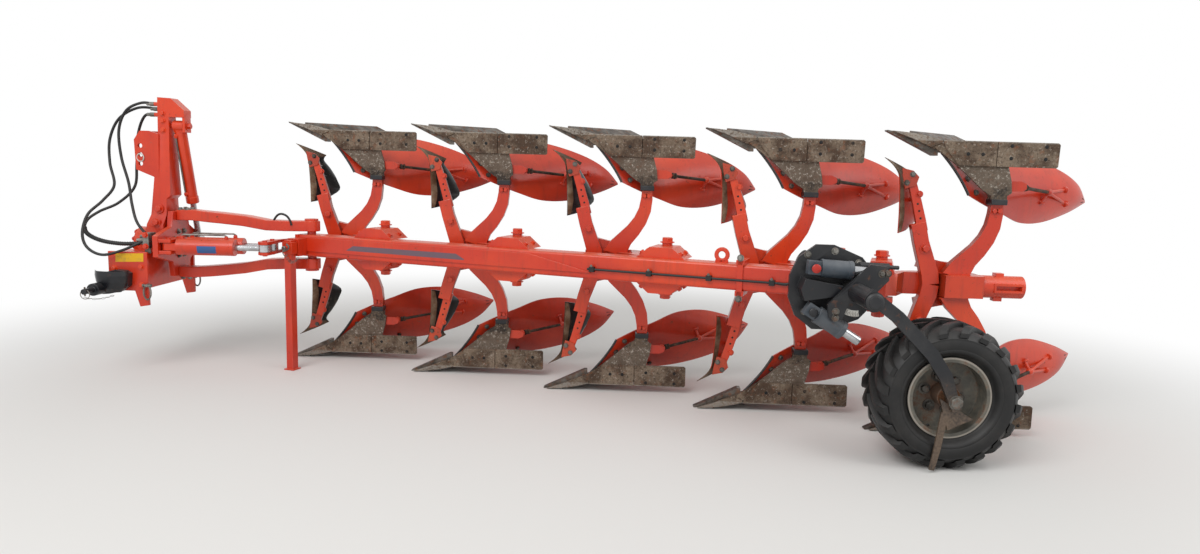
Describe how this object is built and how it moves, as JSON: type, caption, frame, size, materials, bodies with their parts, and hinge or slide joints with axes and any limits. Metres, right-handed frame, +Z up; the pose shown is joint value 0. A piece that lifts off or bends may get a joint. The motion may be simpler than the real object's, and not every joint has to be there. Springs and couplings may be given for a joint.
{
  "type": "reversible moldboard plough",
  "caption": "Fully mounted reversible moldboard plough with variable working width: slanted square beam, skimmers, turnover headstock with mast, parking stand and a pneumatic depth wheel.",
  "frame": {"origin": "on the ground under the middle of the plough's box, measured without the hoses", "axes": "+X rearward along the direction of travel, +Y to the plough's right, +Z up"},
  "size_m": [6.467, 2.505, 1.845],
  "materials": {
    "paint": "worn orange-red paint",
    "dark": "anthracite paint with dust",
    "soil": "bare steel under dried soil and rust",
    "steel": "ground-polished steel with rust",
    "chrome": "chromed rod",
    "black_board": "black plastic board",
    "hose": "black hydraulic hose",
    "tyre": "worn black tyre with dust",
    "rim": "dirty greyish rim with rust"
  },
  "bodies": {
    "headstock": {"headstock_base": "paint", "mast": "paint", "hitch_arms": "dark", "hose_clamp": "steel", "hose_1": "hose", "hose_2": "hose", "hose_3": "hose"},
    "turnover_cylinder": {"turn_barrel": "paint", "turn_rod": "chrome"},
    "turning_frame": {"turn_frame": "paint", "swing_arms": "paint", "front_pin": "steel"},
    "main_frame": {"beam": "paint", "beam_plate": "paint", "pivot_brackets": "paint", "pivot_pins": "steel", "beam_pipe": "hose", "wheel_bracket": "dark", "stand_socket": "paint"},
    "stand": {"stand_leg": "paint"},
    "wheel_arm": {"wheel_arm": "dark"},
    "stop_upper": {"stop_upper": "dark"},
    "stop_lower": {"stop_lower": "dark"},
    "wheel": {"tyre": "tyre", "rim": "rim"},
    "width_barrel_1": {"width_barrel_1": "paint"},
    "width_rod_1": {"width_rod_1": "chrome"},
    "width_barrel_2": {"width_barrel_2": "paint"},
    "width_rod_2": {"width_rod_2": "chrome"},
    "station_1": {"carrier_1": "paint", "skimmer_arms_1": "paint", "skimmers_1": "black_board", "landsides_1": "soil", "shares_1": "steel", "mouldboards_1": "paint"},
    "station_2": {"carrier_2": "paint", "skimmer_arms_2": "paint", "skimmers_2": "black_board", "landsides_2": "soil", "shares_2": "steel", "mouldboards_2": "paint"},
    "station_3": {"carrier_3": "paint", "skimmer_arms_3": "paint", "skimmers_3": "black_board", "landsides_3": "soil", "shares_3": "steel", "mouldboards_3": "paint"},
    "station_4": {"carrier_4": "paint", "skimmer_arms_4": "paint", "skimmers_4": "paint", "landsides_4": "soil", "shares_4": "steel", "mouldboards_4": "paint"},
    "station_5": {"carrier_5": "paint", "skimmer_arms_5": "paint", "skimmers_5": "paint", "landsides_5": "soil", "shares_5": "steel", "mouldboards_5": "paint", "tail_tube": "paint"}
  },
  "joints": [
    {"name": "turnover", "type": "hinge", "parent": "headstock", "child": "turning_frame", "pos_m": [-2.8067, 0.3535, 0.862], "axis": [1, 0, 0], "range_deg": [0, 180]},
    {"name": "turnover_cylinder_swing", "type": "hinge", "parent": "headstock", "child": "turnover_cylinder", "pos_m": [-2.7447, 0.3535, 1.66], "axis": [1, 0, 0], "range_deg": [-29.14, 0.5]},
    {"name": "width_swing", "type": "hinge", "parent": "turning_frame", "child": "main_frame", "pos_m": [-1.90897, 0.5028, 0.862], "axis": [0, 0, -1], "range_deg": [-0.9, 8.2]},
    {"name": "width_barrel_1_swing", "type": "hinge", "parent": "turning_frame", "child": "width_barrel_1", "pos_m": [-2.7207, 0.1155, 0.862], "axis": [0, 0, -1], "range_deg": [-3.98, 0.88]},
    {"name": "width_rod_1_slide", "type": "slide", "parent": "width_barrel_1", "child": "width_rod_1", "axis": [0.9948, 0.1014, 0], "range_m": [-0.0418, 0.0064]},
    {"name": "width_barrel_2_swing", "type": "hinge", "parent": "turning_frame", "child": "width_barrel_2", "pos_m": [-2.7147, 0.2335, 0.862], "axis": [0, 0, -1], "range_deg": [-3.64, 0.84]},
    {"name": "width_rod_2_slide", "type": "slide", "parent": "width_barrel_2", "child": "width_rod_2", "axis": [0.9951, 0.0992, 0], "range_m": [-0.0258, 0.0046]},
    {"name": "body_pivot_1", "type": "hinge", "parent": "main_frame", "child": "station_1", "pos_m": [-1.3727, 0.4705, 0.862], "axis": [0, 0, -1], "range_deg": [-8.6, 1.3]},
    {"name": "body_pivot_2", "type": "hinge", "parent": "main_frame", "child": "station_2", "pos_m": [-0.40262, 0.1553, 0.862], "axis": [0, 0, -1], "range_deg": [-8.6, 1.3]},
    {"name": "body_pivot_3", "type": "hinge", "parent": "main_frame", "child": "station_3", "pos_m": [0.56746, -0.1599, 0.862], "axis": [0, 0, -1], "range_deg": [-8.6, 1.3]},
    {"name": "body_pivot_4", "type": "hinge", "parent": "main_frame", "child": "station_4", "pos_m": [1.53753, -0.47509, 0.862], "axis": [0, 0, -1], "range_deg": [-8.6, 1.3]},
    {"name": "body_pivot_5", "type": "hinge", "parent": "main_frame", "child": "station_5", "pos_m": [1.76198, -0.54802, 0.862], "axis": [0, 0, -1], "range_deg": [-8.6, 1.3]},
    {"name": "stand_swing", "type": "hinge", "parent": "main_frame", "child": "stand", "pos_m": [-1.99233, 0.32064, 0.856], "axis": [-0.309, -0.9511, 0], "range_deg": [0, 90]},
    {"name": "wheel_swing", "type": "hinge", "parent": "main_frame", "child": "wheel_arm", "pos_m": [1.5273, -1.0265, 0.862], "axis": [0, -1, 0], "range_deg": [0, 94]},
    {"name": "wheel_spin", "type": "hinge", "parent": "wheel_arm", "child": "wheel", "pos_m": [1.9613, -1.0265, 0.375], "axis": [0, 1, 0], "continuous": true},
    {"name": "stop_upper_swing", "type": "hinge", "parent": "main_frame", "child": "stop_upper", "pos_m": [1.3123, -0.8545, 0.979], "axis": [0, -1, 0], "range_deg": [-1, 33.9]},
    {"name": "stop_lower_swing", "type": "hinge", "parent": "main_frame", "child": "stop_lower", "pos_m": [1.3123, -0.8545, 0.745], "axis": [0, -1, 0], "range_deg": [-1, 33.9]}
  ],
  "couplings": [
    {"joint": "turnover_cylinder_swing", "follows": "turnover", "ratio": -0.15633},
    {"joint": "width_barrel_1_swing", "follows": "width_swing", "ratio": -0.42426},
    {"joint": "width_rod_1_slide", "follows": "width_swing", "m_per_rad": -0.27834},
    {"joint": "width_barrel_2_swing", "follows": "width_swing", "ratio": -0.38266},
    {"joint": "width_rod_2_slide", "follows": "width_swing", "m_per_rad": -0.16597},
    {"joint": "body_pivot_1", "follows": "width_swing", "ratio": -1},
    {"joint": "body_pivot_2", "follows": "width_swing", "ratio": -1},
    {"joint": "body_pivot_3", "follows": "width_swing", "ratio": -1},
    {"joint": "body_pivot_4", "follows": "width_swing", "ratio": -1},
    {"joint": "body_pivot_5", "follows": "width_swing", "ratio": -1},
    {"joint": "stop_upper_swing", "follows": "wheel_swing", "ratio": 0.35},
    {"joint": "stop_lower_swing", "follows": "wheel_swing", "ratio": 0.35}
  ]
}
